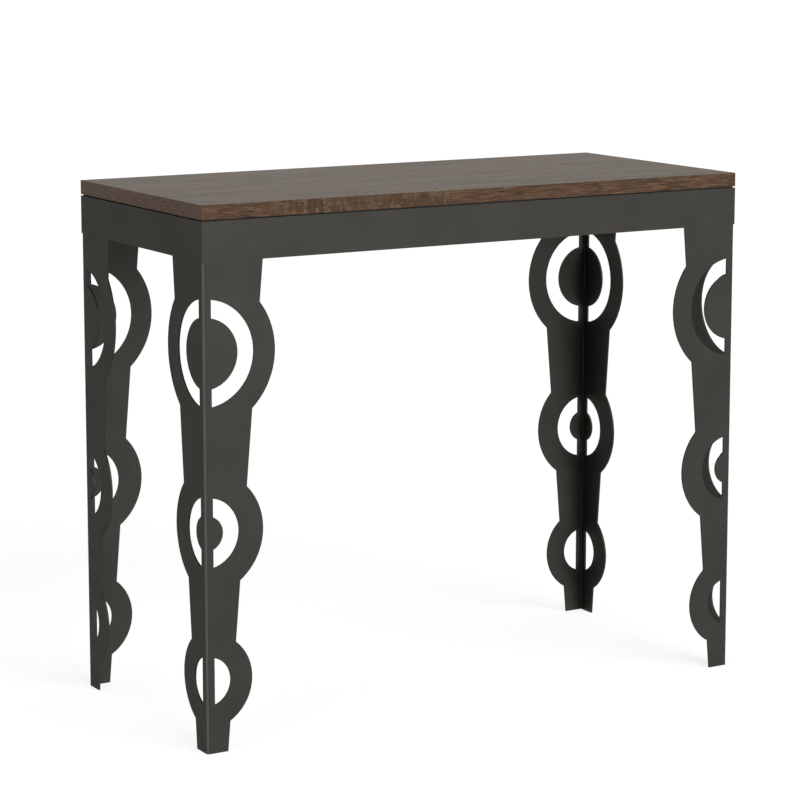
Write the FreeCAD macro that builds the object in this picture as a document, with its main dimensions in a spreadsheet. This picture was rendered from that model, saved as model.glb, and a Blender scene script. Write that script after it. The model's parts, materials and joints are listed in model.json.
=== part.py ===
import FreeCAD, Part
import os
import re
import Sketcher
from FreeCAD import Placement, Rotation, Vector

# Extending console table, closed. Millimetres, +Z up, origin on the floor under the middle of the table.
# X runs along the length, the front half lies at -Y and pulls out that way, the rear half stays at the wall.

# Rails in each set: the first belongs to the rear half, the last to the front half
RAIL_COUNT = 7

# Driving dimensions
SIZES = {
    # whole table
    "table_length": 900,
    "table_depth": 400,
    "table_height": 768,
    "seam_gap": 0.6,
    # top boards
    "top_thickness": 20.5,
    "edging_thickness": 1,
    "shadow_gap": 2,
    # apron bars
    "apron_height": 56,
    "apron_sheet": 3,
    # legs: widths are measured from the inner faces of the fold
    "leg_sheet": 2.5,
    "leg_fold_radius": 0.5,
    "leg_foot_width": 30,
    "leg_top_width": 90,
    "fold_strip_width": 10,
    "trim_margin": 4,
    "ring_slot_width": 25,
    "upper_ring_drop": 125.8,
    "upper_hole_radius": 75,
    "upper_ring_band": 33,
    "middle_ring_offset": 20,
    "middle_hole_radius": 50,
    "middle_ring_band": 37.5,
    "lower_ring_height": 103,
    "lower_hole_radius": 35,
    "lower_ring_band": 33.5,
    # corner brackets behind the legs and aprons
    "bracket_sheet": 3,
    "bracket_fold_radius": 1,
    "bracket_width": 38,
    "bracket_overlap": 40,
    # support angle under each half top
    "support_sheet": 2,
    "support_fold_radius": 0.5,
    "support_width": 20,
    "support_side_gap": 12,
    "strip_width": 14,
    # studs and flange nuts
    "stud_diameter": 6,
    "stud_hole_clearance": 0.6,
    "stud_tail": 1.5,
    "nut_width": 10,
    "nut_height": 5,
    "nut_flange_diameter": 13,
    "nut_flange_height": 1.2,
    "thread_clearance": 0.1,
    # wood screws
    "screw_diameter": 4,
    "screw_engagement": 13,
    "screw_head_diameter": 8,
    "screw_head_height": 2.5,
    "screw_recess_span": 4.6,
    "screw_recess_width": 1,
    "screw_recess_depth": 1.5,
    "screw_hole_clearance": 0.5,
    "screw_side_gap": 37,
    # telescopic rails
    "rail_end_gap": 9,
    "rail_overlap": 116,
    "rail_height": 38,
    "rail_drop": 3,
    "rail_set_inset": 33,
    "rail_gap": 1,
    "rail_web": 4.5,
    "rail_lip": 2.5,
    "neck_height": 12,
    "head_height": 23,
    "head_thickness": 5,
    # glide shoes on the tongues and glide liners in the grooves
    "glide_thickness": 1.3,
    "glide_running_gap": 0.2,
    "shoe_end_inset": 4,
    "liner_length": 50,
    "stop_gap": 0.5,
    # rail brackets and their bolts
    "rail_bracket_sheet": 2.5,
    "rail_bracket_fold_radius": 1,
    "rail_bracket_width": 26,
    "rail_bracket_height": 40,
    "rail_bracket_seam_gap": 10,
    "rail_bracket_end_gap": 37,
    "rail_fixing_inset": 25,
    "rail_bolt_diameter": 5,
    "rail_bolt_engagement": 4,
    "rail_bolt_head_diameter": 9.5,
    "rail_bolt_head_height": 2.75,
    "rail_bolt_socket": 3,
    "rail_bolt_socket_depth": 1.8,
    "rail_bolt_hole_clearance": 0.5,
    # alignment dowels
    "dowel_diameter": 8,
    "dowel_depth": 20,
    "dowel_tip": 2,
    "dowel_end_inset": 150,
    "dowel_clearance": 0.3,
    "dowel_bore_spare": 1,
    # swing hooks, pivots and keepers
    "hook_side_gap": 77,
    "hook_reach": 44,
    "hook_width": 18,
    "hook_sheet": 3,
    "hook_setback": 24,
    "hook_tip_wall": 7,
    "hook_slot_clearance": 0.6,
    "hook_tab_height": 12,
    "collar_diameter": 14,
    "collar_height": 3,
    "shank_diameter": 5,
    "shank_length": 13,
    "pivot_diameter": 8,
    "pivot_clearance": 0.3,
    "hook_play": 0.3,
    "pivot_head_height": 3,
    "pivot_socket": 5,
    "pivot_socket_depth": 2,
    "keeper_diameter": 6,
    "keeper_head_diameter": 11,
}

# Lengths and places worked out from the driving dimensions
DERIVED = {
    "underside": "table_height - top_thickness",
    "apron_top": "underside - shadow_gap",
    "leg_height": "apron_top - apron_height",
    "half_length": "table_length / 2",
    "half_depth": "table_depth / 2",
    "half_seam": "seam_gap / 2",
    "inner_x": "half_length - apron_sheet",
    "inner_y": "half_depth - apron_sheet",
    "leg_inset": "apron_sheet - leg_sheet",
    "edge_slope": "(leg_top_width - leg_foot_width) / leg_height",
    "upper_ring_height": "leg_height - upper_ring_drop",
    "middle_ring_height": "(upper_ring_height + lower_ring_height) / 2 - middle_ring_offset",
    "upper_ring_radius": "upper_hole_radius + upper_ring_band",
    "middle_ring_radius": "middle_hole_radius + middle_ring_band",
    "lower_ring_radius": "lower_hole_radius + lower_ring_band",
    "widest": "max(upper_ring_radius; middle_ring_radius; lower_ring_radius; leg_top_width)",
    "leg_reach": "leg_sheet + widest + trim_margin",
    "strip_edge": "leg_sheet + fold_strip_width",
    "bracket_height": "bracket_overlap + apron_height",
    "bracket_foot": "leg_height - bracket_overlap",
    "support_reach": "middle_bay - support_side_gap",
    "support_line": "inner_y - support_width / 2",
    "stud_hole": "stud_diameter / 2 + stud_hole_clearance / 2",
    "screw_hole": "screw_diameter / 2 + screw_hole_clearance / 2",
    "screw_pilot": "screw_diameter / 2 + thread_clearance / 2",
    "glide_room": "glide_thickness + glide_running_gap",
    "mouth_height": "neck_height + 2 * glide_room",
    "groove_height": "head_height + 2 * glide_room",
    "groove_depth": "rail_lip + head_thickness + 2 * glide_room",
    "rail_width": "groove_depth + rail_web",
    "rail_pitch": "rail_width + rail_gap",
    "neck_end": "rail_width + rail_gap + rail_lip + glide_room",
    "head_end": "neck_end + head_thickness",
    "rail_length": "table_depth - 2 * (apron_sheet + rail_end_gap)",
    "rail_level": "underside - rail_drop - rail_height / 2",
    "first_rail_face": "inner_x - rail_set_inset",
    "shoe_length": "rail_overlap - liner_length - stop_gap - shoe_end_inset",
    "last_rail_face": f"first_rail_face - {RAIL_COUNT - 1} * rail_pitch - rail_width",
    "middle_bay": "last_rail_face - rail_bracket_width",
    "fixing_pitch": "(middle_bay - screw_side_gap) / 2",
    "rail_bracket_near": "half_seam + rail_bracket_seam_gap",
    "rail_bracket_far": "inner_y - rail_bracket_end_gap",
    "flange_middle": "(rail_bracket_width + rail_bracket_sheet) / 2",
    "rail_bolt_hole": "rail_bolt_diameter / 2 + rail_bolt_hole_clearance / 2",
    "rail_tapping": "rail_bolt_diameter / 2 + thread_clearance / 2",
    "dowel_level": "underside + top_thickness / 2",
    "dowel_bore_depth": "dowel_depth + dowel_bore_spare",
    "dowel_pitch": "half_length - dowel_end_inset",
    "pivot_x": "middle_bay - hook_side_gap",
    "pivot_y": "half_seam + hook_setback",
    "keeper_y": "pivot_y - hook_reach",
    "hook_level": "underside - collar_height - hook_play - hook_sheet",
    "pin_length": "hook_sheet + 2 * hook_play",
    "slot_half_width": "keeper_diameter / 2 + hook_slot_clearance",
    "hook_tip": "hook_reach + slot_half_width + hook_tip_wall",
}

# Signs of the two halves along Y and of the two sides along X
HALVES = {"rear": 1, "front": -1}
SIDES = {"left": -1, "right": 1}

# Degrees that a hook's slot sweeps past its seat, enough to leave the hook's edge
HOOK_SLOT_SWEEP = 30

# Cylinders point along +Z until they are turned
ALONG_X = Rotation(Vector(0, 1, 0), 90)
AGAINST_X = Rotation(Vector(0, 1, 0), -90)
ALONG_Y = Rotation(Vector(1, 0, 0), -90)
AGAINST_Y = Rotation(Vector(1, 0, 0), 90)

doc = FreeCAD.newDocument("extending_console_table")
sheet = doc.addObject("Spreadsheet::Sheet", "Sizes")
for row, (alias, value) in enumerate(SIZES.items(), 1):
    sheet.set(f"A{row}", alias)
    sheet.set(f"B{row}", str(value))
    sheet.setAlias(f"B{row}", alias)
doc.recompute()

nodes = []


def formula(text):
    """Spell out the names in a formula as the sheet's cells."""
    def spell(match):
        word = match.group(0)
        if word in DERIVED:
            return f"({formula(DERIVED[word])})"
        return f"Sizes.{word}" if word in SIZES else word
    return re.sub(r"[a-z_]+", spell, str(text))


def number(text):
    """Present value of a formula."""
    return float(sheet.evalExpression(formula(text)))


def bind(item, **sizes):
    """Tie properties of an object to formulas."""
    for name, text in sizes.items():
        item.setExpression(name, formula(text))


def place(item, x, y, z, rotation=Rotation()):
    """Turn an object and tie its base point to formulas."""
    item.Placement = Placement(Vector(), rotation)
    for axis, text in zip("xyz", (x, y, z)):
        item.setExpression(f"Placement.Base.{axis}", formula(text))


def spread(sign, near, far):
    """Low and high ends of a stretch from near to far on the side that the sign gives."""
    return (near, far) if sign > 0 else (f"-({far})", f"-({near})")


def around(line, width):
    """Low and high ends of a stretch centred on a line."""
    return f"{line} - {width} / 2", f"{line} + {width} / 2"


def box(name, x_span, y_span, z_span):
    """Block between the given low and high ends."""
    item = doc.addObject("Part::Box", name)
    spans = (x_span, y_span, z_span)
    for side, (low, high) in zip(("Length", "Width", "Height"), spans):
        bind(item, **{side: f"({high}) - ({low})"})
    place(item, *(low for low, high in spans))
    return item


def rod(name, radius, length, x, y, z, rotation=Rotation()):
    """Round bar from a base point."""
    item = doc.addObject("Part::Cylinder", name)
    bind(item, Radius=radius, Height=length)
    place(item, x, y, z, rotation)
    return item


def hexagon(name, across_flats, length, x, y, z, rotation=Rotation()):
    """Six-sided bar from a base point."""
    item = doc.addObject("Part::Prism", name)
    item.Polygon = 6
    bind(item, Circumradius=f"({across_flats}) / sqrt(3)", Height=length)
    place(item, x, y, z, rotation)
    return item


def group(name, items):
    """Separate solids under one name."""
    item = doc.addObject("Part::Compound", name)
    item.Links = items
    return item


def fuse(name, items):
    """One solid out of several that meet."""
    item = doc.addObject("Part::MultiFuse", name)
    item.Shapes = items
    return item


def cut(name, base, tools):
    """Base without the tools."""
    item = doc.addObject("Part::Cut", name)
    item.Base = base
    item.Tool = group(f"{name}_tools", tools)
    return item


def node(item):
    """Enter an object among the table's pieces."""
    nodes.append(item)


def sketch_on(body, role, name):
    """Empty sketch on one of a body's own planes."""
    sketch = body.newObject("Sketcher::SketchObject", name)
    plane = next(item for item in body.Origin.OriginFeatures if item.Role == role)
    sketch.AttachmentSupport = [(plane, "")]
    sketch.MapMode = "FlatFace"
    return sketch


def constrain(sketch, kind, target, text):
    """Add a dimension to a sketch and tie it to a formula."""
    index = sketch.addConstraint(Sketcher.Constraint(kind, *target, number(text)))
    sketch.setExpression(f"Constraints[{index}]", formula(text))


def outline(sketch, corners, arcs=None):
    """Close a loop through corners given as formulas.

    arcs maps the number of a corner to the centre, radius and sense of the arc that leaves it.
    A sense of 1 turns from X towards Y, and -1 turns the other way.
    """
    arcs = arcs or {}
    points = [Vector(number(x), number(y), 0) for x, y in corners]
    edges = []
    for i, start in enumerate(points):
        end = points[(i + 1) % len(points)]
        if i in arcs:
            (centre_x, centre_y), radius, sense = arcs[i]
            centre = Vector(number(centre_x), number(centre_y), 0)
            first, last = (start, end) if sense > 0 else (end, start)
            circle = Part.Circle(centre, Vector(0, 0, 1), number(radius))
            curve = Part.ArcOfCircle(circle, circle.parameter(first), circle.parameter(last))
            index = sketch.addGeometry(curve)
            edges.append((index, 1, 2) if sense > 0 else (index, 2, 1))
        else:
            index = sketch.addGeometry(Part.LineSegment(start, end))
            edges.append((index, 1, 2))
    for i, (index, start, end) in enumerate(edges):
        next_index, next_start, _ = edges[(i + 1) % len(edges)]
        sketch.addConstraint(Sketcher.Constraint("Coincident", index, end, next_index, next_start))
    for i, (index, start, end) in enumerate(edges):
        constrain(sketch, "DistanceX", (-1, 1, index, start), corners[i][0])
        constrain(sketch, "DistanceY", (-1, 1, index, start), corners[i][1])
        if i in arcs:
            constrain(sketch, "Radius", (index,), arcs[i][1])


def pad(body, sketch, length):
    """Raise a sketch to a solid."""
    feature = body.newObject("PartDesign::Pad", f"{sketch.Name}_pad")
    feature.Profile = sketch
    bind(feature, Length=length)
    sketch.Visibility = False


def prism(name, corners, length, arcs=None):
    """Body with one outline raised along its Z."""
    body = doc.addObject("PartDesign::Body", name)
    sketch = sketch_on(body, "XY_Plane", f"{name}_section")
    outline(sketch, corners, arcs)
    pad(body, sketch, length)
    return body


def folded_angle(name, thickness, fold_radius, reach_x, reach_y, length):
    """Sheet folded to an L, with its outer faces on the planes X = 0 and Y = 0."""
    bend = f"({thickness} + {fold_radius})"
    corners = [
        (bend, "0"),
        (reach_x, "0"),
        (reach_x, thickness),
        (bend, thickness),
        (thickness, bend),
        (thickness, reach_y),
        ("0", reach_y),
        ("0", bend),
    ]
    centre = (bend, bend)
    arcs = {3: (centre, fold_radius, -1), 7: (centre, bend, 1)}
    return prism(name, corners, length, arcs)


def ring_crossing(level, radius, way):
    """Corner of a leg's outline where a ring leaves its slanted edge, above or below the ring's centre."""
    width = f"(leg_foot_width + edge_slope * {level})"
    spread_squared = f"((1 + edge_slope ^ 2) * {radius} ^ 2 - {width} ^ 2)"
    rise = f"(({way} * sqrt({spread_squared}) - edge_slope * {width}) / (1 + edge_slope ^ 2))"
    return f"leg_sheet + {width} + edge_slope * {rise}", f"{level} + {rise}"


def trim_outer_edge(sketch):
    """Waste outside a leg's slanted edge, with the three rings left standing."""
    past_foot = ("leg_sheet + leg_foot_width - edge_slope * trim_margin", "-trim_margin")
    past_top = ("leg_sheet + leg_top_width + edge_slope * trim_margin", "leg_height + trim_margin")
    outside = "leg_reach + trim_margin"
    corners = [past_top]
    arcs = {}
    for ring in ("upper", "middle", "lower"):
        level = f"{ring}_ring_height"
        radius = f"{ring}_ring_radius"
        arcs[len(corners)] = (("leg_sheet", level), radius, -1)
        corners += [ring_crossing(level, radius, way) for way in (1, -1)]
    corners += [past_foot, (outside, "-trim_margin"), (outside, "leg_height + trim_margin")]
    outline(sketch, corners, arcs)


def cut_ring_hole(sketch, ring, has_disc):
    """Hole of one ring, up to the strip along the fold, round a half disc where the ring has one."""
    level = f"{ring}_ring_height"
    centre = ("leg_sheet", level)
    hole = f"{ring}_hole_radius"
    disc = f"({hole} - ring_slot_width)"
    hole_rise = f"sqrt({hole} ^ 2 - fold_strip_width ^ 2)"
    disc_rise = f"sqrt({disc} ^ 2 - fold_strip_width ^ 2)"
    corners = [("strip_edge", f"{level} + {hole_rise}"), ("strip_edge", f"{level} - {hole_rise}")]
    arcs = {0: (centre, hole, -1)}
    if has_disc:
        corners += [("strip_edge", f"{level} - {disc_rise}"), ("strip_edge", f"{level} + {disc_rise}")]
        arcs[2] = (centre, disc, 1)
    outline(sketch, corners, arcs)


def make_leg(name):
    """Leg with its fold on the Z axis and its two alike flanges along X and Y."""
    leg = folded_angle(name, "leg_sheet", "leg_fold_radius", "leg_reach", "leg_reach", "leg_height")
    for role, flange in (("XZ_Plane", "x"), ("YZ_Plane", "y")):
        sketch = sketch_on(leg, role, f"{name}_{flange}_flange_cuts")
        trim_outer_edge(sketch)
        cut_ring_hole(sketch, "upper", True)
        cut_ring_hole(sketch, "middle", True)
        cut_ring_hole(sketch, "lower", False)
        pocket = leg.newObject("PartDesign::Pocket", f"{name}_{flange}_flange_pocket")
        pocket.Profile = sketch
        pocket.SideType = "Symmetric"
        bind(pocket, Length="4 * leg_sheet")
        sketch.Visibility = False
    return leg


# A corner's fold points along +X and +Y at the front left, and turns with the corner
CORNER_TURN = {("front", "left"): 0, ("front", "right"): 90, ("rear", "right"): 180, ("rear", "left"): 270}


def corner_rotation(half, side):
    return Rotation(Vector(0, 0, 1), CORNER_TURN[half, side])


def make_legs(half):
    """Two legs of one half, flush with the apron on the inside."""
    for side, x_sign in SIDES.items():
        leg = make_leg(f"{half}_{side}_leg")
        x = f"{x_sign} * (half_length - leg_inset)"
        y = f"{HALVES[half]} * (half_depth - leg_inset)"
        place(leg, x, y, "0", corner_rotation(half, side))
        node(leg)


def make_aprons(half):
    """Long bar and two side bars of one half, mitred where they meet."""
    sign = HALVES[half]
    outer = f"{sign} * half_depth"
    inner = f"{sign} * inner_y"
    seam = f"{sign} * half_seam"
    long_bar = [("-half_length", outer), ("half_length", outer), ("inner_x", inner), ("-inner_x", inner)]
    bars = {f"{half}_apron": long_bar}
    for side, x_sign in SIDES.items():
        outside = f"{x_sign} * half_length"
        inside = f"{x_sign} * inner_x"
        side_bar = [(outside, seam), (outside, outer), (inside, inner), (inside, seam)]
        bars[f"{half}_{side}_side_apron"] = side_bar
    for name, corners in bars.items():
        bar = prism(name, corners, "apron_height")
        place(bar, "0", "0", "leg_height")
        node(bar)


def stud_places(half):
    """Base points and directions of the studs of one half, on the inner faces of apron and legs."""
    sign = HALVES[half]
    inward = AGAINST_Y if sign > 0 else ALONG_Y
    apron_level = "leg_height + apron_height / 2"
    leg_level = "leg_height - bracket_overlap / 2"
    from_corner = "(bracket_width + bracket_sheet) / 2"
    places = []
    for x_sign in SIDES.values():
        sideways = AGAINST_X if x_sign > 0 else ALONG_X
        for level in (apron_level, leg_level):
            long_face = (f"{x_sign} * (inner_x - {from_corner})", f"{sign} * inner_y", level)
            side_face = (f"{x_sign} * inner_x", f"{sign} * (inner_y - {from_corner})", level)
            places.append((long_face, inward, "bracket_sheet"))
            places.append((side_face, sideways, "bracket_sheet"))
    support_level = "apron_top - (support_width + support_sheet) / 2"
    for step in (-1.5, -0.5, 0.5, 1.5):
        point = (f"{step} * fixing_pitch", f"{sign} * inner_y", support_level)
        places.append((point, inward, "support_sheet"))
    return places


def shifted(point, rotation, distance):
    """Point moved along a turned Z axis by a length given as a formula."""
    direction = rotation.multVec(Vector(0, 0, 1))
    return [f"({text}) + {round(step)} * ({distance})" for text, step in zip(point, direction)]


def make_frame_fasteners(half):
    """Weld studs of one half, each with its flange nut."""
    pieces = []
    for count, (point, rotation, clamped) in enumerate(stud_places(half), 1):
        name = f"{half}_stud_{count}"
        length = f"{clamped} + nut_height + stud_tail"
        pieces.append(rod(name, "stud_diameter / 2", length, *point, rotation))
        seat = shifted(point, rotation, clamped)
        nut = f"{half}_nut_{count}"
        body = hexagon(f"{nut}_body", "nut_width", "nut_height", *seat, rotation)
        flange = rod(f"{nut}_flange", "nut_flange_diameter / 2", "nut_flange_height", *seat, rotation)
        bore = rod(f"{nut}_bore", "stud_diameter / 2 + thread_clearance / 2", "nut_height", *seat, rotation)
        pieces.append(cut(nut, fuse(f"{nut}_blank", [body, flange]), [bore]))
    node(group(f"{half}_frame_fasteners", pieces))


def stud_holes(name, half, clamped):
    """Tools for the holes that pass over those studs which clamp the given sheet."""
    holes = []
    for count, (point, rotation, sheet_name) in enumerate(stud_places(half), 1):
        if sheet_name == clamped:
            holes.append(rod(f"{name}_stud_hole_{count}", "stud_hole", clamped, *point, rotation))
    return holes


def make_leg_brackets(half):
    """Two corner angles of one half, which join leg and apron and carry the top."""
    brackets = []
    for side, x_sign in SIDES.items():
        name = f"{half}_{side}_leg_bracket"
        angle = folded_angle(f"{name}_angle", "bracket_sheet", "bracket_fold_radius",
                             "bracket_width", "bracket_width", "bracket_height")
        place(angle, f"{x_sign} * inner_x", f"{HALVES[half]} * inner_y", "bracket_foot",
              corner_rotation(half, side))
        brackets.append(cut(name, angle, stud_holes(name, half, "bracket_sheet")))
    node(group(f"{half}_leg_brackets", brackets))


def support_screw_places(half):
    """Points on the underside of a half top over its support angle."""
    y = f"{HALVES[half]} * support_line"
    return [(f"{step} * fixing_pitch", y) for step in (-2, -1, 0, 1, 2)]


def rail_face(half, x_sign):
    """Face of a fixed rail that its bracket seats on, and the way that the bracket's flange points."""
    if half == "rear":
        return f"{x_sign} * first_rail_face", x_sign
    return f"{x_sign} * last_rail_face", -x_sign


def rail_fixing_lines(half):
    """Distances along Y of the fixings of a rail bracket."""
    sign = HALVES[half]
    ends = ("rail_bracket_near + rail_fixing_inset", "rail_bracket_far - rail_fixing_inset")
    return [f"{sign} * ({end})" for end in ends]


def rail_screw_places(half):
    """Points on the underside of a half top over its rail brackets."""
    places = []
    for x_sign in SIDES.values():
        face, way = rail_face(half, x_sign)
        places += [(f"{face} + {way} * flange_middle", y) for y in rail_fixing_lines(half)]
    return places


def make_support(half):
    """Angle along the long apron that the top is screwed to, and the strip between it and the top."""
    sign = HALVES[half]
    name = f"{half}_top_support"
    angle = folded_angle(f"{name}_angle", "support_sheet", "support_fold_radius",
                         "support_width", "support_width", "2 * support_reach")
    turn = Rotation(Vector(0, -sign, 0), Vector(0, 0, -1), Vector(sign, 0, 0), "ZXY")
    place(angle, f"{-sign} * support_reach", f"{sign} * inner_y", "apron_top", turn)
    holes = stud_holes(name, half, "support_sheet")
    strip_holes = []
    for count, (x, y) in enumerate(support_screw_places(half), 1):
        holes.append(rod(f"{name}_screw_hole_{count}", "screw_hole", "support_sheet",
                         x, y, "apron_top - support_sheet"))
        strip_holes.append(rod(f"{half}_strip_hole_{count}", "screw_hole", "shadow_gap", x, y, "apron_top"))
    node(cut(name, angle, holes))

    strip = box(f"{half}_strip", ("-inner_x", "inner_x"),
                spread(sign, "inner_y - strip_width", "inner_y"), ("apron_top", "underside"))
    node(cut(f"{half}_spacer_strip", strip, strip_holes))


def cross_recess(name, x, y, foot):
    """Tools for the cross recess in the foot of a screw's head."""
    depth = (foot, f"{foot} + screw_recess_depth")
    span, width = "screw_recess_span", "screw_recess_width"
    return [
        box(f"{name}_recess_x", around(x, span), around(y, width), depth),
        box(f"{name}_recess_y", around(x, width), around(y, span), depth),
    ]


def make_top_screws(half):
    """Screws from below into a half top, through its support angle and its rail brackets."""
    seats = [(x, y, "apron_top - support_sheet") for x, y in support_screw_places(half)]
    seats += [(x, y, "underside - rail_bracket_sheet") for x, y in rail_screw_places(half)]
    screws = []
    for count, (x, y, seat) in enumerate(seats, 1):
        name = f"{half}_top_screw_{count}"
        length = f"underside + screw_engagement - ({seat})"
        shank = rod(f"{name}_shank", "screw_diameter / 2", length, x, y, seat)
        foot = f"{seat} - screw_head_height"
        head = rod(f"{name}_head", "screw_head_diameter / 2", "screw_head_height", x, y, foot)
        recess = cross_recess(name, x, y, foot)
        screws.append(cut(name, fuse(f"{name}_blank", [shank, head]), recess))
    node(group(f"{half}_top_screws", screws))


def dowel_lines():
    return [f"{step} * dowel_pitch" for step in (-1, 0, 1)]


def dowel_bores(name, half):
    """Bores from the seam into a half top: snug in the front half, free in the rear half."""
    rotation = ALONG_Y if half == "rear" else AGAINST_Y
    clearance = "dowel_clearance" if half == "rear" else "thread_clearance / 2"
    return [
        rod(f"{name}_dowel_bore_{count}", f"dowel_diameter / 2 + {clearance}", "dowel_bore_depth",
            x, "0", "dowel_level", rotation)
        for count, x in enumerate(dowel_lines(), 1)
    ]


def make_top(half):
    """Half top board with its pilot holes and bores, and the four strips that edge it."""
    sign = HALVES[half]
    level = ("underside", "table_height")
    core_y = spread(sign, "half_seam + edging_thickness", "half_depth - edging_thickness")
    core_end = "half_length - edging_thickness"
    board = box(f"{half}_board", (f"-({core_end})", core_end), core_y, level)
    bores = dowel_bores(f"{half}_board", half)
    for count, (x, y) in enumerate(support_screw_places(half) + rail_screw_places(half), 1):
        bores.append(rod(f"{half}_pilot_{count}", "screw_pilot", "screw_engagement", x, y, "underside"))
    shank_y = "pivot_y" if half == "rear" else "keeper_y"
    for side, x_sign in SIDES.items():
        bores.append(rod(f"{half}_{side}_shank_bore", "shank_diameter / 2 + thread_clearance / 2",
                         "shank_length", f"{x_sign} * pivot_x", shank_y, "underside"))
    node(cut(f"{half}_top", board, bores))

    full = ("-half_length", "half_length")
    outer = box(f"{half}_outer_edging", full,
                spread(sign, "half_depth - edging_thickness", "half_depth"), level)
    seam = box(f"{half}_seam_blank", full,
               spread(sign, "half_seam", "half_seam + edging_thickness"), level)
    strips = [outer, cut(f"{half}_seam_edging", seam, dowel_bores(f"{half}_edging", half))]
    for side, x_sign in SIDES.items():
        strips.append(box(f"{half}_{side}_edging", spread(x_sign, core_end, "half_length"), core_y, level))
    node(group(f"{half}_top_edging", strips))


def make_dowels():
    """Round dowels in the front half top that enter the rear one."""
    dowels = []
    for count, x in enumerate(dowel_lines(), 1):
        name = f"alignment_dowel_{count}"
        shank = rod(f"{name}_shank", "dowel_diameter / 2", "2 * dowel_depth - dowel_tip",
                    x, "-dowel_depth", "dowel_level", ALONG_Y)
        tip = doc.addObject("Part::Cone", f"{name}_tip")
        bind(tip, Radius1="dowel_diameter / 2", Radius2="(dowel_diameter - dowel_tip) / 2")
        bind(tip, Height="dowel_tip")
        place(tip, x, "dowel_depth - dowel_tip", "dowel_level", ALONG_Y)
        dowels.append(fuse(name, [shank, tip]))
    node(group("alignment_dowels", dowels))


# Rail sections lie across X with the groove facing out and the tongue facing the middle of the table
RAIL_TURN = {"left": ALONG_Y, "right": Rotation(Vector(0, 1, 0), 180).multiply(ALONG_Y)}


def place_on_rail(item, side, count):
    """Put a piece that is drawn in a rail's own frame, from its front end, where that rail lies."""
    x = f"{SIDES[side]} * (first_rail_face - {count - 1} * rail_pitch)"
    place(item, x, "-rail_length / 2", "rail_level", RAIL_TURN[side])


def make_rail(side, count):
    """Rail bar, with a groove unless it is the first and a T tongue unless it is the last."""
    name = f"{side}_rail_{count}"
    low, high = "-rail_height / 2", "rail_height / 2"
    section = [("rail_width", low), ("rail_width", high), ("0", high)]
    if count > 1:
        section += [
            ("0", "mouth_height / 2"),
            ("rail_lip", "mouth_height / 2"),
            ("rail_lip", "groove_height / 2"),
            ("groove_depth", "groove_height / 2"),
            ("groove_depth", "-groove_height / 2"),
            ("rail_lip", "-groove_height / 2"),
            ("rail_lip", "-mouth_height / 2"),
            ("0", "-mouth_height / 2"),
        ]
    section.append(("0", low))
    rail = prism(f"{name}_bar" if count in (1, RAIL_COUNT) else name, section, "rail_length")
    if count < RAIL_COUNT:
        tongue = sketch_on(rail, "XY_Plane", f"{name}_tongue")
        outline(tongue, [
            ("rail_width", "-neck_height / 2"),
            ("neck_end", "-neck_height / 2"),
            ("neck_end", "-head_height / 2"),
            ("head_end", "-head_height / 2"),
            ("head_end", "head_height / 2"),
            ("neck_end", "head_height / 2"),
            ("neck_end", "neck_height / 2"),
            ("rail_width", "neck_height / 2"),
        ])
        pad(rail, tongue, "rail_length")
    place_on_rail(rail, side, count)
    if count in (1, RAIL_COUNT):
        half = "rear" if count == 1 else "front"
        face, way = rail_face(half, SIDES[side])
        inward = AGAINST_X if way > 0 else ALONG_X
        holes = [
            rod(f"{name}_tapping_{index}", "rail_tapping", "rail_bolt_engagement",
                face, y, "rail_level", inward)
            for index, y in enumerate(rail_fixing_lines(half), 1)
        ]
        rail = cut(name, rail, holes)
    node(rail)


def glide(name, side, count, inner, mouth, length, start):
    """Glide of C section, given by its inner corners and the edge of its mouth, in a rail's own frame."""
    (inner_face, inner_back, inner_rise) = inner
    face = f"{inner_face} - glide_thickness"
    back = f"{inner_back} + glide_thickness"
    crown = f"({inner_rise} + glide_thickness)"
    piece = prism(name, [
        (face, mouth),
        (face, crown),
        (back, crown),
        (back, f"-{crown}"),
        (face, f"-{crown}"),
        (face, f"-{mouth}"),
        (inner_face, f"-{mouth}"),
        (inner_face, f"-({inner_rise})"),
        (inner_back, f"-({inner_rise})"),
        (inner_back, inner_rise),
        (inner_face, inner_rise),
        (inner_face, mouth),
    ], length)
    section = doc.getObject(f"{name}_section")
    section.setExpression("AttachmentOffset.Base.z", formula(start))
    place_on_rail(piece, side, count)
    return piece


def make_shoe(side, count):
    """Shoe clipped round the front end of a rail's tongue."""
    head = ("neck_end", "head_end", "head_height / 2")
    return glide(f"{side}_rail_{count}_shoe", side, count, head, "neck_height / 2",
                 "shoe_length", "shoe_end_inset")


def make_liner(side, count):
    """Liner in the rear end of a rail's groove, which meets the shoe of the rail before when pulled out."""
    lining = ("rail_lip + glide_thickness", "groove_depth - glide_thickness",
              "groove_height / 2 - glide_thickness")
    return glide(f"{side}_rail_{count}_liner", side, count, lining, "mouth_height / 2",
                 "liner_length", "rail_length - liner_length")


def make_rails():
    """Both rail sets with their glides."""
    for side in SIDES:
        for count in range(1, RAIL_COUNT + 1):
            make_rail(side, count)
        for count in range(2, RAIL_COUNT):
            node(group(f"{side}_rail_{count}_glides", [make_shoe(side, count), make_liner(side, count)]))
    node(group("rear_rail_glides", [make_shoe(side, 1) for side in SIDES]))
    node(group("front_rail_glides", [make_liner(side, RAIL_COUNT) for side in SIDES]))


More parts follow.
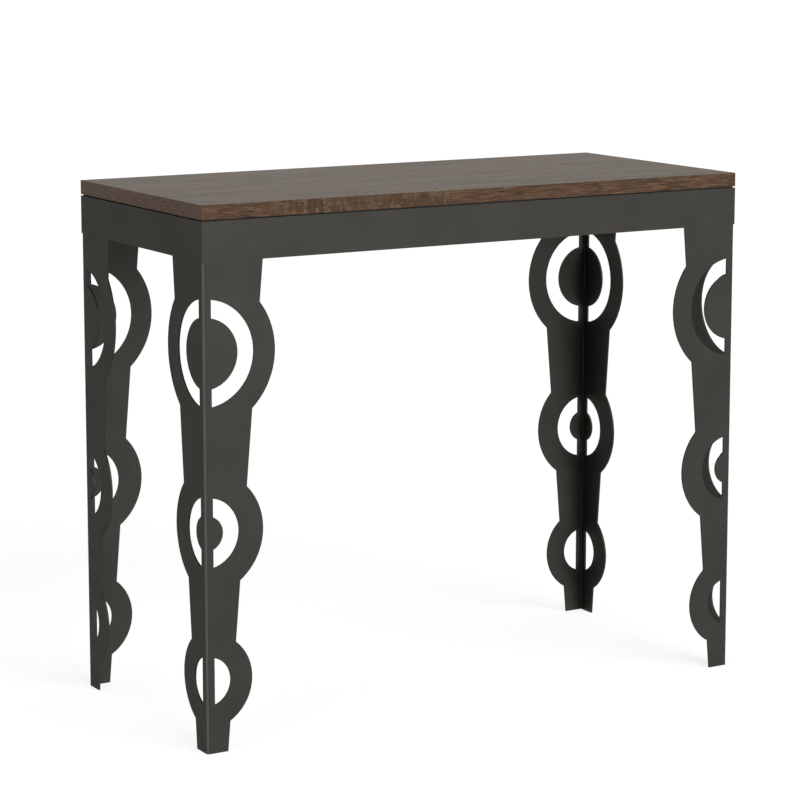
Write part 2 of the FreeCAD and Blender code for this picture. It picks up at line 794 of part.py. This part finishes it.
def make_rail_brackets(half):
    """Angles that hang the fixed rails of one half under its top, with the bolts into the rails."""
    sign = HALVES[half]
    brackets = []
    bolts = []
    near, far = spread(sign, "rail_bracket_near", "rail_bracket_far")
    length = "rail_bracket_far - rail_bracket_near"
    shank_length = "rail_bracket_sheet + rail_bolt_engagement"
    for side, x_sign in SIDES.items():
        name = f"{half}_{side}_rail_bracket"
        face, way = rail_face(half, x_sign)
        inward = AGAINST_X if way > 0 else ALONG_X
        angle = folded_angle(f"{name}_angle", "rail_bracket_sheet", "rail_bracket_fold_radius",
                             "rail_bracket_width", "rail_bracket_height", length)
        turn = Rotation(Vector(way, 0, 0), Vector(0, 0, -1), Vector(0, way, 0), "ZXY")
        place(angle, face, near if way > 0 else far, "underside", turn)
        seat = f"{face} + {way} * rail_bracket_sheet"
        holes = []
        for index, y in enumerate(rail_fixing_lines(half), 1):
            holes.append(rod(f"{name}_bolt_hole_{index}", "rail_bolt_hole", "rail_bracket_sheet",
                             seat, y, "rail_level", inward))
            holes.append(rod(f"{name}_screw_hole_{index}", "screw_hole", "rail_bracket_sheet",
                             f"{face} + {way} * flange_middle", y, "underside - rail_bracket_sheet"))
            bolt = f"{half}_{side}_rail_bolt_{index}"
            shank = rod(f"{bolt}_shank", "rail_bolt_diameter / 2", shank_length,
                        seat, y, "rail_level", inward)
            crown = (f"{seat} + {way} * rail_bolt_head_height", y, "rail_level")
            head = rod(f"{bolt}_head", "rail_bolt_head_diameter / 2", "rail_bolt_head_height", *crown, inward)
            socket = hexagon(f"{bolt}_socket", "rail_bolt_socket", "rail_bolt_socket_depth", *crown, inward)
            bolts.append(cut(bolt, fuse(f"{bolt}_blank", [shank, head]), [socket]))
        brackets.append(cut(name, angle, holes))
    node(group(f"{half}_rail_brackets", brackets))
    node(group(f"{half}_rail_bolts", bolts))


def shoulder_pin(name, x, y, pin_radius, head_radius):
    """Pin screwed up into a half top: shank, collar against the board, pin and head with a socket."""
    collar_level = "underside - collar_height"
    pin_level = f"{collar_level} - pin_length"
    foot = f"{pin_level} - pivot_head_height"
    shank = rod(f"{name}_shank", "shank_diameter / 2", "shank_length", x, y, "underside")
    collar = rod(f"{name}_collar", "collar_diameter / 2", "collar_height", x, y, collar_level)
    pin = rod(f"{name}_pin", pin_radius, "pin_length", x, y, pin_level)
    head = rod(f"{name}_head", head_radius, "pivot_head_height", x, y, foot)
    socket = hexagon(f"{name}_socket", "pivot_socket", "pivot_socket_depth", x, y, foot)
    return cut(name, fuse(f"{name}_blank", [shank, collar, pin, head]), [socket])


def make_hook(side, way):
    """Flat hook that turns on its pivot, drawn free, along X, with its slot open to the seam."""
    name = f"{side}_hook"
    half_width = "hook_width / 2"
    width = (f"-{half_width}", half_width)
    arm = box(f"{name}_arm", spread(way, "0", "hook_tip"), width, ("0", "hook_sheet"))
    eye = rod(f"{name}_eye", half_width, "hook_sheet", "0", "0", "0")
    tab_span = spread(way, "hook_tip - hook_sheet", "hook_tip")
    tab = box(f"{name}_tab", tab_span, width, ("-hook_tab_height", "0"))
    blank = fuse(f"{name}_blank", [arm, eye, tab])

    turn = Rotation(Vector(0, 0, 1), -HOOK_SLOT_SWEEP if way > 0 else 180)
    sweep = rod(f"{name}_slot_sweep", "hook_reach + slot_half_width", "hook_sheet", "0", "0", "0", turn)
    sweep.Angle = HOOK_SLOT_SWEEP
    core = rod(f"{name}_slot_core", "hook_reach - slot_half_width", "hook_sheet", "0", "0", "0")
    seat = rod(f"{name}_slot_seat", "slot_half_width", "hook_sheet", f"{way} * hook_reach", "0", "0")
    bore = rod(f"{name}_bore", "pivot_diameter / 2 + pivot_clearance", "hook_sheet", "0", "0", "0")
    hook = cut(name, blank, [cut(f"{name}_slot", sweep, [core]), seat, bore])
    place(hook, f"{SIDES[side]} * pivot_x", "pivot_y", "hook_level")
    node(hook)


def make_hooks():
    """Two swing hooks under the rear top, their pivots, and the keepers under the front top."""
    pivots = []
    keepers = []
    for side, x_sign in SIDES.items():
        x = f"{x_sign} * pivot_x"
        make_hook(side, -x_sign)
        pivots.append(shoulder_pin(f"{side}_hook_pivot", x, "pivot_y", "pivot_diameter / 2",
                                   "collar_diameter / 2"))
        keepers.append(shoulder_pin(f"{side}_keeper_pin", x, "keeper_y", "keeper_diameter / 2",
                                    "keeper_head_diameter / 2"))
    node(group("hook_pivots", pivots))
    node(group("keeper_pins", keepers))


def write_nodes():
    """Check every object and write each piece to a file of its own."""
    doc.recompute()
    failed = [item.Name for item in doc.Objects if {"Invalid", "Error"} & set(item.State)]
    bad = [item.Label for item in nodes if item.Shape.isNull() or not item.Shape.isValid()]
    if failed or bad:
        raise RuntimeError(f"failed objects {failed}, bad shapes {bad}")
    os.makedirs("parts", exist_ok=True)
    for item in nodes:
        item.Shape.exportStep(f"parts/{item.Label}.step")
    print(f"{len(nodes)} nodes, {sum(len(item.Shape.Solids) for item in nodes)} solids")


for half_name in HALVES:
    make_top(half_name)
    make_aprons(half_name)
    make_legs(half_name)
    make_leg_brackets(half_name)
    make_frame_fasteners(half_name)
    make_support(half_name)
    make_top_screws(half_name)
    make_rail_brackets(half_name)
make_rails()
make_dowels()
make_hooks()
write_nodes()
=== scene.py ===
import bpy
import json
import math
from mathutils import Euler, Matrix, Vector

# Looks of the extending console table: oak-faced tops, powder-coated sheet steel and the rails inside.
# Metres, +Z up, the table's length along X and its front half at -Y, as in the frame.

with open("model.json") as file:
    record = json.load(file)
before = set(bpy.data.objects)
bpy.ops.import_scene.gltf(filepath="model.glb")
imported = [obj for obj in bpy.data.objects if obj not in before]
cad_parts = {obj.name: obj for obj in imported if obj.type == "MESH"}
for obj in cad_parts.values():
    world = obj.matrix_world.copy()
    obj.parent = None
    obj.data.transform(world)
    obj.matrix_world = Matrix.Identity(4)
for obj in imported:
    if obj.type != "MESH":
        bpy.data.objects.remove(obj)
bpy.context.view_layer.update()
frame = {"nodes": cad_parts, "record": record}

# Camera of the photograph: a long lens that looks from the front left, a little above the top
CAMERA_LENS = 122.503
CAMERA_SHIFT_Y = -0.1
CAMERA_PLACE = (-2.0712, -3.4832, 1.1662)
CAMERA_TILT = math.radians(90 - 8.633)
CAMERA_TURN = math.radians(-30.474)

# Soft studio light: two wide lamps far away and an even surround
SURROUND_LIGHT = 0.32
KEY_LIGHT = 2.15
KEY_FROM = (0.21, -0.904, 0.373)
KEY_SPREAD = math.radians(50)
FILL_LIGHT = 0.48
FILL_FROM = (-0.85, -0.45, 0.2)
FILL_SPREAD = math.radians(40)

# Floor that looks white where nothing shades it
FLOOR_REACH = 60
FLOOR_COLOUR = (0.4, 0.4, 0.4, 1)
FLOOR_GLOW = 0.79

# Colours, linear
WHITE = (1, 1, 1, 1)
OAK_DARK = (0.05, 0.026, 0.0135, 1)
OAK_MIDDLE = (0.087, 0.0465, 0.025, 1)
OAK_LIGHT = (0.14, 0.083, 0.048, 1)
OAK_FLECK = (0.142, 0.096, 0.058, 1)
OAK_PORE = (0.023, 0.012, 0.0065, 1)
OAK_SHEEN = (0.9, 1, 0.985, 1)
COAT_DARK = (0.0395, 0.0371, 0.0325, 1)
COAT_LIGHT = (0.0447, 0.0421, 0.0368, 1)
# Painted highlight: the coat drawn lighter where the legs fold at their outer corners
COAT_FOLD_PAINTED_HIGHLIGHT = (0.088, 0.083, 0.074, 1)
COAT_EDGE_TINT = (0.5, 0.5, 0.5, 1)
ALUMINIUM_DARK = (0.33, 0.335, 0.34, 1)
ALUMINIUM_LIGHT = (0.5, 0.505, 0.51, 1)
NYLON_DARK = (0.7, 0.685, 0.62, 1)
NYLON_LIGHT = (0.8, 0.79, 0.74, 1)
ZINC_DARK = (0.36, 0.375, 0.4, 1)
ZINC_LIGHT = (0.52, 0.52, 0.5, 1)
RUBBER_DARK = (0.012, 0.012, 0.012, 1)
RUBBER_LIGHT = (0.035, 0.035, 0.036, 1)
BEECH_DARK = (0.45, 0.28, 0.16, 1)
BEECH_LIGHT = (0.62, 0.43, 0.27, 1)

# Oak of the faces and of the edges: tint multiplies the colours, gloss is the specular level, patches is
# how much the dark clouds show, tones is the band from dark to middle brown, waves and sway bend the grain
# lines, fibres counts those lines, and relief is their depth in metres
# The face's tint is greyer and cooler than the edge's: partly painted sheen on the top, on top of its real
# gloss
OAK_FACE = {
    "tint": (1.03, 1.23, 1.3, 1), "gloss": 0.205, "patches": 0.7, "tones": (0.36, 0.6),
    "waves": (7, 14, 7), "sway": 0.012, "fibres": (20, 340, 7), "relief": 0.00003,
}
OAK_EDGE = {
    "tint": (1.17, 1.14, 1.14, 1), "gloss": 0.15, "patches": 0.15, "tones": (0.2, 0.75),
    "waves": (18, 14, 7), "sway": 0.008, "fibres": (40, 430, 7), "relief": 0.0001,
}

# Stretch of the front edge that shows ray flecks, metres, and how much darker its ground is
FIGURE_FROM = -0.325
FIGURE_TO = -0.01
FIGURE_FADE = 0.03
FIGURE_RAGGED = 0.06
FIGURE_GROUND = 0.5

# Patterns of the oak: how many there are in a metre along the grain, across it and from face to face
OAK_CLOUDS = (4, 34, 7)
OAK_TONES = (5, 60, 7)
OAK_PORES = (42, 640, 7)
FIGURE_ENDS = (25, 60, 7)
FLECK_COLUMNS = (150, 45, 7)
FLECK_RUNGS = (260, 520, 7)

# Patterns of the other materials: how many there are in a metre along X, Y and Z, or any way
COAT_CLOUDS = (14, 14, 14)
COAT_GRIT = (1800, 1800, 1800)
ALUMINIUM_LINES = (900, 4, 900)
ALUMINIUM_CLOUDS = (30, 30, 30)
NYLON_CLOUDS = (120, 120, 120)
NYLON_GRAIN = (2500, 2500, 2500)
ZINC_SPANGLES = 420
ZINC_GRAIN = (1500, 1500, 1500)
RUBBER_CELLS = 1600
BEECH_FIBRES = (900, 60, 900)

# Bands of a pattern's height in which one look goes over into another
FIBRE_BAND = (0.42, 0.66)
CLOUD_BAND = (0.44, 0.62)
PORE_BAND = (0.53, 0.66)
COLUMN_BAND = (0.46, 0.62)
RUNG_BAND = (0.36, 0.62)
GRIT_BAND = (0.2, 0.8)
CELL_BAND = (0.1, 0.6)
BEECH_BAND = (0.35, 0.65)
MIDDLE_BAND = (0.3, 0.7)
WHOLE_BAND = (0, 1)

# How much of the pores' own colour shows
PORE_DEPTH = 0.8

# Smoothest and roughest spots
OAK_ROUGHNESS = (0.47, 0.58)
COAT_ROUGHNESS = (0.42, 0.5)
ALUMINIUM_ROUGHNESS = (0.28, 0.42)
NYLON_ROUGHNESS = (0.36, 0.5)
ZINC_ROUGHNESS = (0.32, 0.48)

# Relief of the fine textures: depth in metres, and how much of it shows
COAT_RELIEF = (0.00003, 0.4)
ALUMINIUM_RELIEF = (0.00003, 0.5)
NYLON_RELIEF = (0.00002, 0.4)
ZINC_RELIEF = (0.00002, 0.4)
RUBBER_RELIEF = (0.0002, 0.6)
BEECH_RELIEF = (0.00005, 0.5)

# Part of a normal along an axis: a face looks that way above the number, and the painted highlight along a
# fold begins in the band
FACING = 0.5
FOLD_HIGHLIGHT_BAND = (0.1, 0.35)

# Places of the first, second and mixed value on the Mix node, by their kind
MIX_SOCKETS = {"VECTOR": (4, 5, 1), "RGBA": (6, 7, 2)}


def fill(tree, item, inputs):
    """Set a node's inputs to values, or link them to other nodes' outputs."""
    for key, value in inputs.items():
        if isinstance(value, bpy.types.NodeSocket):
            tree.links.new(value, item.inputs[key])
        else:
            item.inputs[key].default_value = value


def add(tree, kind, inputs=None, **settings):
    """New node with its settings and inputs."""
    item = tree.nodes.new(kind)
    for name, value in settings.items():
        setattr(item, name, value)
    fill(tree, item, inputs or {})
    return item


def mix(tree, factor, first, second, kind="RGBA", blend="MIX"):
    """Blend of two colours or vectors."""
    low, high, result = MIX_SOCKETS[kind]
    inputs = {0: factor, low: first, high: second}
    return add(tree, "ShaderNodeMix", inputs, data_type=kind, blend_type=blend).outputs[result]


def calc(tree, operation, *values):
    """Number worked out from one to three numbers."""
    inputs = dict(enumerate(values))
    return add(tree, "ShaderNodeMath", inputs, operation=operation).outputs[0]


def split(tree, vector):
    """The three parts of a vector."""
    return add(tree, "ShaderNodeSeparateXYZ", {0: vector}).outputs


def join(tree, x, y, z):
    """Vector of three parts."""
    return add(tree, "ShaderNodeCombineXYZ", {0: x, 1: y, 2: z}).outputs[0]


def band(tree, value, limits, to=(0, 1)):
    """Value brought from one range to another, with soft ends."""
    inputs = {
        "Value": value,
        "From Min": limits[0],
        "From Max": limits[1],
        "To Min": to[0],
        "To Max": to[1],
    }
    return add(tree, "ShaderNodeMapRange", inputs, interpolation_type="SMOOTHSTEP").outputs[0]


def noise(tree, place, counts, detail, roughness=0.5, distortion=0.0):
    """Cloudy pattern between 0 and 1, with a count in a metre along each axis."""
    spread = add(tree, "ShaderNodeVectorMath", {0: place, 1: counts}, operation="MULTIPLY").outputs[0]
    inputs = {
        "Vector": spread,
        "Scale": 1.0,
        "Detail": detail,
        "Roughness": roughness,
        "Distortion": distortion,
    }
    return add(tree, "ShaderNodeTexNoise", inputs).outputs["Fac"]


def cells(tree, place, count):
    """Pattern of small cells: the colour of each and the distance from its middle."""
    return add(tree, "ShaderNodeTexVoronoi", {"Vector": place, "Scale": count}).outputs


def bump(tree, height, distance, strength=1.0):
    """Normal of a surface raised by a height pattern."""
    inputs = {"Height": height, "Distance": distance, "Strength": strength}
    return add(tree, "ShaderNodeBump", inputs).outputs[0]


def new_material(name):
    """New material, its node tree and its Principled shader."""
    made = bpy.data.materials.new(name)
    made.use_nodes = True
    tree = made.node_tree
    shader = next(item for item in tree.nodes if item.type == "BSDF_PRINCIPLED")
    return made, tree, shader


def place_of(tree):
    """Coordinates in the table's frame, which stay with the piece when it moves."""
    return add(tree, "ShaderNodeTexCoord").outputs["Object"]


def grain_place(tree):
    """Coordinates along the grain, across it and from face to face, and 1 on the front edge."""
    source = add(tree, "ShaderNodeTexCoord").outputs
    x, y, z = split(tree, source["Object"])
    facing = split(tree, source["Normal"])
    on_end = calc(tree, "GREATER_THAN", calc(tree, "ABSOLUTE", facing[0]), FACING)
    on_top = calc(tree, "GREATER_THAN", calc(tree, "ABSOLUTE", facing[2]), FACING)
    on_front = calc(tree, "LESS_THAN", facing[1], -FACING)
    half = calc(tree, "SIGN", y)
    flat = join(tree, x, y, half)
    along_front = join(tree, x, z, y)
    along_end = join(tree, y, z, calc(tree, "ADD", x, half))
    edge = mix(tree, on_end, along_front, along_end, kind="VECTOR")
    return mix(tree, on_top, edge, flat, kind="VECTOR"), on_front


def ray_flecks(tree, place, on_front):
    """1 in the figured stretch of the front edge, and 1 on its flecks, which stand across the grain."""
    ragged = noise(tree, place, FIGURE_ENDS, detail=2)
    spot = calc(tree, "MULTIPLY_ADD", ragged, FIGURE_RAGGED, split(tree, place)[0])
    begun = band(tree, spot, (FIGURE_FROM, FIGURE_FROM + FIGURE_FADE))
    ended = band(tree, spot, (FIGURE_TO - FIGURE_FADE, FIGURE_TO))
    figured = calc(tree, "MULTIPLY", on_front, calc(tree, "SUBTRACT", begun, ended))
    column = band(tree, noise(tree, place, FLECK_COLUMNS, detail=2, distortion=0.5), COLUMN_BAND)
    rung = band(tree, noise(tree, place, FLECK_RUNGS, detail=1), RUNG_BAND)
    return figured, calc(tree, "MULTIPLY", figured, calc(tree, "MULTIPLY", column, rung))


def make_oak(name, tint, gloss, patches, tones, waves, sway, fibres, relief):
    """Brown oak with swaying grain and pores, and ray flecks in one stretch of the front edge."""
    made, tree, shader = new_material(name)
    place, on_front = grain_place(tree)
    along, across, face = split(tree, place)
    wave = noise(tree, place, waves, detail=3, roughness=0.55)
    grain = join(tree, along, calc(tree, "MULTIPLY_ADD", wave, sway, across), face)
    cloud = noise(tree, grain, OAK_CLOUDS, detail=2, distortion=0.5)
    tone = noise(tree, grain, OAK_TONES, detail=4, roughness=0.6, distortion=0.4)
    fibre = noise(tree, grain, fibres, detail=4, roughness=0.6, distortion=0.3)
    pore = noise(tree, grain, OAK_PORES, detail=2, roughness=0.6)
    pores = band(tree, pore, PORE_BAND, to=(0, PORE_DEPTH))
    figured, fleck = ray_flecks(tree, place, on_front)

    colour = mix(tree, band(tree, tone, tones), OAK_DARK, OAK_MIDDLE)
    colour = mix(tree, band(tree, fibre, FIBRE_BAND), colour, OAK_LIGHT)
    colour = mix(tree, band(tree, cloud, CLOUD_BAND, to=(0, patches)), colour, OAK_DARK)
    colour = mix(tree, pores, colour, OAK_PORE)
    colour = mix(tree, calc(tree, "MULTIPLY", figured, FIGURE_GROUND), colour, OAK_DARK)
    colour = mix(tree, fleck, colour, OAK_FLECK)
    fill(tree, shader, {
        "Base Color": mix(tree, 1.0, colour, tint, blend="MULTIPLY"),
        "Roughness": band(tree, fibre, MIDDLE_BAND, to=OAK_ROUGHNESS),
        "Specular IOR Level": gloss,
        "Specular Tint": OAK_SHEEN,
        "Normal": bump(tree, calc(tree, "SUBTRACT", fibre, pores), relief),
    })
    return made


def painted_fold_highlight(tree):
    """Mask of the painted highlight: 1 on the outer side of an upright fold, which faces away from the
    table's middle both ways.
    """
    source = add(tree, "ShaderNodeTexCoord").outputs
    place = split(tree, source["Object"])
    facing = split(tree, source["Normal"])
    away_x = calc(tree, "MULTIPLY", facing[0], calc(tree, "SIGN", place[0]))
    away_y = calc(tree, "MULTIPLY", facing[1], calc(tree, "SIGN", place[1]))
    return band(tree, calc(tree, "MINIMUM", away_x, away_y), FOLD_HIGHLIGHT_BAND)


def make_coat():
    """Matt anthracite powder coat with a fine texture, and a painted highlight along the outer folds."""
    made, tree, shader = new_material("anthracite_coat")
    place = place_of(tree)
    cloud = noise(tree, place, COAT_CLOUDS, detail=3)
    grit = noise(tree, place, COAT_GRIT, detail=2)
    colour = mix(tree, band(tree, cloud, MIDDLE_BAND), COAT_DARK, COAT_LIGHT)
    fill(tree, shader, {
        # Painted highlight: lighter coat colour on the outer side of the folds
        "Base Color": mix(tree, painted_fold_highlight(tree), colour, COAT_FOLD_PAINTED_HIGHLIGHT),
        "Metallic": 0.9,
        "Roughness": band(tree, grit, GRIT_BAND, to=COAT_ROUGHNESS),
        "Specular Tint": COAT_EDGE_TINT,
        "Normal": bump(tree, grit, *COAT_RELIEF),
    })
    return made


def make_aluminium():
    """Extruded aluminium with die lines along the rails."""
    made, tree, shader = new_material("aluminium_rail")
    place = place_of(tree)
    lines = noise(tree, place, ALUMINIUM_LINES, detail=3, roughness=0.6)
    cloud = noise(tree, place, ALUMINIUM_CLOUDS, detail=3)
    fill(tree, shader, {
        "Base Color": mix(tree, lines, ALUMINIUM_DARK, ALUMINIUM_LIGHT),
        "Metallic": 1.0,
        "Roughness": band(tree, cloud, MIDDLE_BAND, to=ALUMINIUM_ROUGHNESS),
        "Normal": bump(tree, lines, *ALUMINIUM_RELIEF),
    })
    return made


def make_nylon():
    """Natural nylon, a little cloudy."""
    made, tree, shader = new_material("nylon")
    place = place_of(tree)
    cloud = noise(tree, place, NYLON_CLOUDS, detail=3)
    grain = noise(tree, place, NYLON_GRAIN, detail=2)
    fill(tree, shader, {
        "Base Color": mix(tree, cloud, NYLON_DARK, NYLON_LIGHT),
        "Roughness": band(tree, cloud, MIDDLE_BAND, to=NYLON_ROUGHNESS),
        "Normal": bump(tree, grain, *NYLON_RELIEF),
    })
    return made


def make_zinc():
    """Zinc-plated steel with faint spangle."""
    made, tree, shader = new_material("zinc_steel")
    place = place_of(tree)
    shade = split(tree, cells(tree, place, ZINC_SPANGLES)["Color"])[0]
    grain = noise(tree, place, ZINC_GRAIN, detail=2)
    fill(tree, shader, {
        "Base Color": mix(tree, shade, ZINC_DARK, ZINC_LIGHT),
        "Metallic": 1.0,
        "Roughness": band(tree, shade, WHOLE_BAND, to=ZINC_ROUGHNESS),
        "Normal": bump(tree, grain, *ZINC_RELIEF),
    })
    return made


def make_rubber():
    """Black foam rubber with small cells."""
    made, tree, shader = new_material("rubber_strip")
    wall = cells(tree, place_of(tree), RUBBER_CELLS)["Distance"]
    fill(tree, shader, {
        "Base Color": mix(tree, band(tree, wall, CELL_BAND), RUBBER_DARK, RUBBER_LIGHT),
        "Roughness": 0.85,
        "Specular IOR Level": 0.2,
        "Normal": bump(tree, wall, *RUBBER_RELIEF),
    })
    return made


def make_beech():
    """Turned beech with short flecks along the dowel."""
    made, tree, shader = new_material("beech")
    fibre = noise(tree, place_of(tree), BEECH_FIBRES, detail=3)
    fill(tree, shader, {
        "Base Color": mix(tree, band(tree, fibre, BEECH_BAND), BEECH_LIGHT, BEECH_DARK),
        "Roughness": 0.55,
        "Normal": bump(tree, fibre, *BEECH_RELIEF),
    })
    return made


def dress(finishes):
    """Give every node the finish of its slot in the record."""
    for row in frame["record"]["subparts"]:
        mesh = frame["nodes"][row["node"]].data
        mesh.materials.clear()
        mesh.materials.append(finishes[row["material_slot"]])


def seen_rays(tree):
    """1 for rays that look at a surface, straight, in a reflection or through glass, and 0 for light."""
    path = add(tree, "ShaderNodeLightPath").outputs
    seen = calc(tree, "MAXIMUM", path["Is Camera Ray"], path["Is Glossy Ray"])
    return calc(tree, "MAXIMUM", seen, path["Is Transmission Ray"])


def make_surround():
    """Even surround that lights the table softly and looks white."""
    world = bpy.data.worlds.new("surround")
    bpy.context.scene.world = world
    world.use_nodes = True
    tree = world.node_tree
    tree.nodes.clear()
    light = add(tree, "ShaderNodeBackground", {"Color": WHITE, "Strength": SURROUND_LIGHT})
    white = add(tree, "ShaderNodeBackground", {"Color": WHITE, "Strength": 1.0})
    parts = {0: seen_rays(tree), 1: light.outputs[0], 2: white.outputs[0]}
    chosen = add(tree, "ShaderNodeMixShader", parts)
    add(tree, "ShaderNodeOutputWorld", {"Surface": chosen.outputs[0]})


def make_floor():
    """Plain pale floor that keeps the table's shadow."""
    mesh = bpy.data.meshes.new("floor")
    reach = FLOOR_REACH
    corners = [(-reach, -reach, 0), (reach, -reach, 0), (reach, reach, 0), (-reach, reach, 0)]
    mesh.from_pydata(corners, [], [(0, 1, 2, 3)])
    floor = bpy.data.objects.new("floor", mesh)
    bpy.context.scene.collection.objects.link(floor)
    made = bpy.data.materials.new("floor")
    made.use_nodes = True
    tree = made.node_tree
    tree.nodes.clear()
    matt = add(tree, "ShaderNodeBsdfDiffuse", {"Color": FLOOR_COLOUR})
    strength = calc(tree, "MULTIPLY", seen_rays(tree), FLOOR_GLOW)
    glow = add(tree, "ShaderNodeEmission", {"Color": WHITE, "Strength": strength})
    both = add(tree, "ShaderNodeAddShader", {0: matt.outputs[0], 1: glow.outputs[0]})
    add(tree, "ShaderNodeOutputMaterial", {"Surface": both.outputs[0]})
    mesh.materials.append(made)


def make_lamp(name, strength, come_from, spread):
    """Wide lamp far away that shines from one side."""
    lamp = bpy.data.lights.new(name, "SUN")
    lamp.energy = strength
    lamp.angle = spread
    item = bpy.data.objects.new(name, lamp)
    item.rotation_euler = Vector(come_from).to_track_quat("Z", "Y").to_euler()
    bpy.context.scene.collection.objects.link(item)


def make_camera():
    """Camera at the photograph's viewing angle."""
    camera = bpy.data.cameras.new("camera")
    camera.lens = CAMERA_LENS
    camera.shift_y = CAMERA_SHIFT_Y
    item = bpy.data.objects.new("camera", camera)
    item.location = CAMERA_PLACE
    item.rotation_euler = Euler((CAMERA_TILT, 0, CAMERA_TURN))
    bpy.context.scene.collection.objects.link(item)
    bpy.context.scene.camera = item


dress({
    "oak_laminate": make_oak("oak_laminate", **OAK_FACE),
    "oak_edging": make_oak("oak_edging", **OAK_EDGE),
    "anthracite_coat": make_coat(),
    "aluminium_rail": make_aluminium(),
    "nylon": make_nylon(),
    "zinc_steel": make_zinc(),
    "rubber_strip": make_rubber(),
    "beech": make_beech(),
})
make_surround()
make_floor()
make_lamp("key", KEY_LIGHT, KEY_FROM, KEY_SPREAD)
make_lamp("fill", FILL_LIGHT, FILL_FROM, FILL_SPREAD)
make_camera()
bpy.context.scene.view_settings.view_transform = "Standard"
